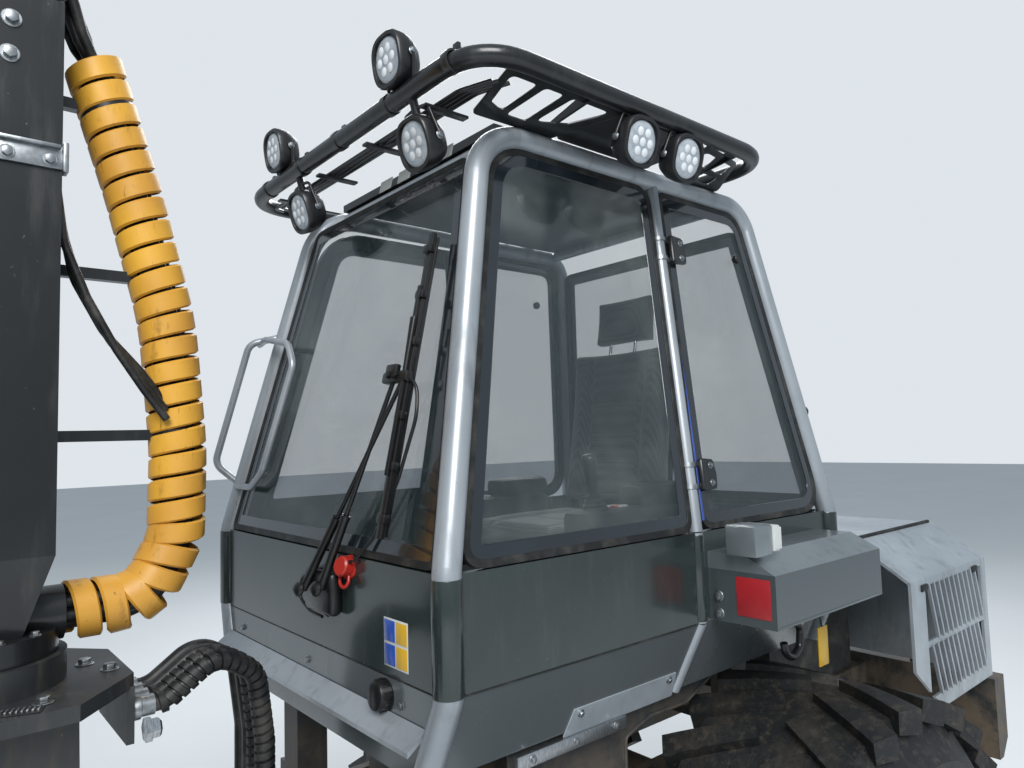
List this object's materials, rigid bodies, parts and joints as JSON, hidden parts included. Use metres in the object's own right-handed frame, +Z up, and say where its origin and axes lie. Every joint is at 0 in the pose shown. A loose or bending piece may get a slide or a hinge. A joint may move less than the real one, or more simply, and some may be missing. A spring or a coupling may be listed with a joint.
{
  "type": "forwarder",
  "caption": "Small forestry forwarder: articulated chassis with cab and engine unit, bogied load unit with gate and stakes, and a folding crane with a timber grapple.",
  "frame": {"origin": "on the ground under the middle of the overall length and width", "axes": "+X towards the engine end, +Y to the left, +Z up"},
  "size_m": [6.7999, 2.05, 3.5858],
  "materials": {
    "chassis": "satin dark grey paint with road dirt",
    "engine": "rough",
    "cab_tube": "satin silver paint",
    "cab_panel": "satin dark green-black paint",
    "pane": "clear, slightly green",
    "guard_tube": "semi-gloss black paint",
    "lamp": "black housing",
    "seat_cloth": "woven",
    "console_plastic": "grained",
    "fender_silver": "satin silver paint",
    "hood_silver": "satin silver paint",
    "bumper_steel": "satin dark paint",
    "joint_steel": "satin dark paint",
    "gate_steel": "scuffed dark paint",
    "crane_black": "semi-gloss black paint",
    "grapple_steel": "scuffed black paint",
    "wiper_black": "satin",
    "hose_rubber": "smooth",
    "guard_yellow": "spiral plastic guard",
    "cylinder_black": "semi-gloss black paint",
    "rod_chrome": "polished",
    "tyre": "matte, muddy",
    "rim_silver": "satin silver paint"
  },
  "bodies": {
    "front_unit": {"front_frame": "chassis", "front_axle": "chassis", "engine_block": "engine", "cab_frame": "cab_tube", "cab_tub": "cab_panel", "cab_roof": "cab_panel", "cab_glass": "pane", "quarter_window": "pane", "door_hinges": "cab_tube", "roof_guard": "guard_tube", "work_lights": "lamp", "seat": "seat_cloth", "console": "console_plastic", "fenders": "fender_silver", "bumper": "bumper_steel", "grab_rail": "cab_tube", "wiper": "wiper_black"},
    "door": {"door": "cab_panel", "door_glass": "pane"},
    "hood": {"engine_hood": "hood_silver"},
    "joint": {"joint_block": "joint_steel"},
    "rear_unit": {"rear_frame": "chassis", "gate": "gate_steel", "bunks": "gate_steel", "hoses": "hose_rubber"},
    "steer_left_barrel": {"steer_left_barrel": "cylinder_black"},
    "steer_left_rod": {"steer_left_rod": "rod_chrome"},
    "steer_right_barrel": {"steer_right_barrel": "cylinder_black"},
    "steer_right_rod": {"steer_right_rod": "rod_chrome"},
    "bogie_left": {"bogie_left": "chassis"},
    "bogie_right": {"bogie_right": "chassis"},
    "crane_column": {"crane_column": "crane_black", "hose_guard": "guard_yellow"},
    "boom": {"boom": "crane_black"},
    "jib": {"jib": "crane_black"},
    "extension": {"extension": "crane_black"},
    "link": {"link": "crane_black"},
    "rotator": {"rotator": "crane_black"},
    "grapple_head": {"grapple_head": "grapple_steel"},
    "claw_left": {"claw_left": "grapple_steel"},
    "claw_right": {"claw_right": "grapple_steel"},
    "lift_barrel": {"lift_barrel": "cylinder_black"},
    "lift_rod": {"lift_rod": "rod_chrome"},
    "jib_fold_barrel": {"jib_fold_barrel": "cylinder_black"},
    "jib_fold_rod": {"jib_fold_rod": "rod_chrome"},
    "wheel_front_left": {"tyre_front_left": "tyre", "rim_front_left": "rim_silver"},
    "wheel_front_right": {"tyre_front_right": "tyre", "rim_front_right": "rim_silver"},
    "wheel_bogie_fore_left": {"tyre_bogie_fore_left": "tyre", "rim_bogie_fore_left": "rim_silver"},
    "wheel_bogie_fore_right": {"tyre_bogie_fore_right": "tyre", "rim_bogie_fore_right": "rim_silver"},
    "wheel_bogie_aft_left": {"tyre_bogie_aft_left": "tyre", "rim_bogie_aft_left": "rim_silver"},
    "wheel_bogie_aft_right": {"tyre_bogie_aft_right": "tyre", "rim_bogie_aft_right": "rim_silver"}
  },
  "joints": [
    {"name": "door_swing", "type": "hinge", "parent": "front_unit", "child": "door", "pos_m": [1.736, 0.65341, 1.64431], "axis": [-0.0754, 0.1585, -0.9845], "range_deg": [0, 80]},
    {"name": "hood_tilt", "type": "hinge", "parent": "front_unit", "child": "hood", "pos_m": [3.347, 0, 0.988], "axis": [0, 1, 0], "range_deg": [0, 60]},
    {"name": "front_wheel_left", "type": "hinge", "parent": "front_unit", "child": "wheel_front_left", "pos_m": [2.12, 0.725, 0.59], "axis": [0, 1, 0], "continuous": true},
    {"name": "front_wheel_right", "type": "hinge", "parent": "front_unit", "child": "wheel_front_right", "pos_m": [2.12, -0.725, 0.59], "axis": [0, 1, 0], "continuous": true},
    {"name": "steer", "type": "hinge", "parent": "front_unit", "child": "joint", "pos_m": [0.64, 0, 0.735], "axis": [0, 0, -1], "range_deg": [-40, 40]},
    {"name": "roll", "type": "hinge", "parent": "joint", "child": "rear_unit", "pos_m": [0.5, 0, 0.735], "axis": [1, 0, 0], "range_deg": [-15, 15]},
    {"name": "steer_left_swing", "type": "hinge", "parent": "front_unit", "child": "steer_left_barrel", "pos_m": [1.16, 0.236, 0.735], "axis": [0, 0, -1], "range_deg": [-5, 5]},
    {"name": "steer_left_stroke", "type": "slide", "parent": "steer_left_barrel", "child": "steer_left_rod", "axis": [-0.9959, -0.09, 0], "range_m": [-0.13, 0.13]},
    {"name": "steer_right_swing", "type": "hinge", "parent": "front_unit", "child": "steer_right_barrel", "pos_m": [1.16, -0.236, 0.735], "axis": [0, 0, -1], "range_deg": [-5, 5]},
    {"name": "steer_right_stroke", "type": "slide", "parent": "steer_right_barrel", "child": "steer_right_rod", "axis": [-0.9959, 0.09, 0], "range_m": [-0.13, 0.13]},
    {"name": "bogie_left_rock", "type": "hinge", "parent": "rear_unit", "child": "bogie_left", "pos_m": [-1.9, 0.47, 0.5], "axis": [0, 1, 0], "range_deg": [-15, 15]},
    {"name": "bogie_wheel_fore_left", "type": "hinge", "parent": "bogie_left", "child": "wheel_bogie_fore_left", "pos_m": [-1.4, 0.805, 0.437], "axis": [0, 1, 0], "continuous": true},
    {"name": "bogie_wheel_aft_left", "type": "hinge", "parent": "bogie_left", "child": "wheel_bogie_aft_left", "pos_m": [-2.4, 0.805, 0.437], "axis": [0, 1, 0], "continuous": true},
    {"name": "bogie_right_rock", "type": "hinge", "parent": "rear_unit", "child": "bogie_right", "pos_m": [-1.9, -0.47, 0.5], "axis": [0, 1, 0], "range_deg": [-15, 15]},
    {"name": "bogie_wheel_fore_right", "type": "hinge", "parent": "bogie_right", "child": "wheel_bogie_fore_right", "pos_m": [-1.4, -0.805, 0.437], "axis": [0, 1, 0], "continuous": true},
    {"name": "bogie_wheel_aft_right", "type": "hinge", "parent": "bogie_right", "child": "wheel_bogie_aft_right", "pos_m": [-2.4, -0.805, 0.437], "axis": [0, 1, 0], "continuous": true},
    {"name": "slew", "type": "hinge", "parent": "rear_unit", "child": "crane_column", "pos_m": [0.202, 0, 1.5], "axis": [0, 0, 1], "range_deg": [-120, 120]},
    {"name": "boom_lift", "type": "hinge", "parent": "crane_column", "child": "boom", "pos_m": [0.13, 0, 3.02], "axis": [0, 1, 0], "range_deg": [-20, 62]},
    {"name": "jib_fold", "type": "hinge", "parent": "boom", "child": "jib", "pos_m": [-3.09827, 0, 3.4737], "axis": [0, 1, 0], "range_deg": [0, 140]},
    {"name": "extend", "type": "slide", "parent": "jib", "child": "extension", "axis": [0.9703, 0, -0.2419], "range_m": [0, 1.1]},
    {"name": "link_swing", "type": "hinge", "parent": "extension", "child": "link", "pos_m": [-1.47162, 0, 2.7641], "axis": [0, 1, 0], "range_deg": [-75, 75]},
    {"name": "rotator_swing", "type": "hinge", "parent": "link", "child": "rotator", "pos_m": [-1.47162, 0, 2.5741], "axis": [1, 0, 0], "range_deg": [-45, 45]},
    {"name": "rotator_turn", "type": "hinge", "parent": "rotator", "child": "grapple_head", "pos_m": [-1.47162, 0, 2.3841], "axis": [0, 0, 1], "continuous": true},
    {"name": "claw_left_open", "type": "hinge", "parent": "grapple_head", "child": "claw_left", "pos_m": [-1.47162, 0.11, 2.2741], "axis": [1, 0, 0], "range_deg": [0, 65]},
    {"name": "claw_right_open", "type": "hinge", "parent": "grapple_head", "child": "claw_right", "pos_m": [-1.47162, -0.11, 2.2741], "axis": [-1, 0, 0], "range_deg": [0, 65]},
    {"name": "lift_swing", "type": "hinge", "parent": "crane_column", "child": "lift_barrel", "pos_m": [0.002, 0, 1.89], "axis": [0, 1, 0], "range_deg": [-2, 6]},
    {"name": "lift_stroke", "type": "slide", "parent": "lift_barrel", "child": "lift_rod", "axis": [-0.2847, 0, 0.9586], "range_m": [-0.14, 0.42]},
    {"name": "jib_fold_swing", "type": "hinge", "parent": "boom", "child": "jib_fold_barrel", "pos_m": [-1.77822, 0, 3.52549], "axis": [0, 1, 0], "range_deg": [0, 3]},
    {"name": "jib_fold_stroke", "type": "slide", "parent": "jib_fold_barrel", "child": "jib_fold_rod", "axis": [-0.9998, 0, 0.0175], "range_m": [-0.38, 0]}
  ],
  "couplings": [
    {"joint": "steer_left_swing", "follows": "steer", "ratio": 0.11},
    {"joint": "steer_right_swing", "follows": "steer", "ratio": 0.11},
    {"joint": "steer_left_stroke", "follows": "steer", "m_per_rad": -0.18},
    {"joint": "steer_right_stroke", "follows": "steer", "m_per_rad": 0.18},
    {"joint": "lift_swing", "follows": "boom_lift", "ratio": 0.08},
    {"joint": "lift_stroke", "follows": "boom_lift", "m_per_rad": 0.385},
    {"joint": "jib_fold_swing", "follows": "jib_fold", "ratio": 0.02},
    {"joint": "jib_fold_stroke", "follows": "jib_fold", "m_per_rad": -0.154},
    {"joint": "claw_right_open", "follows": "claw_left_open", "ratio": 1}
  ]
}
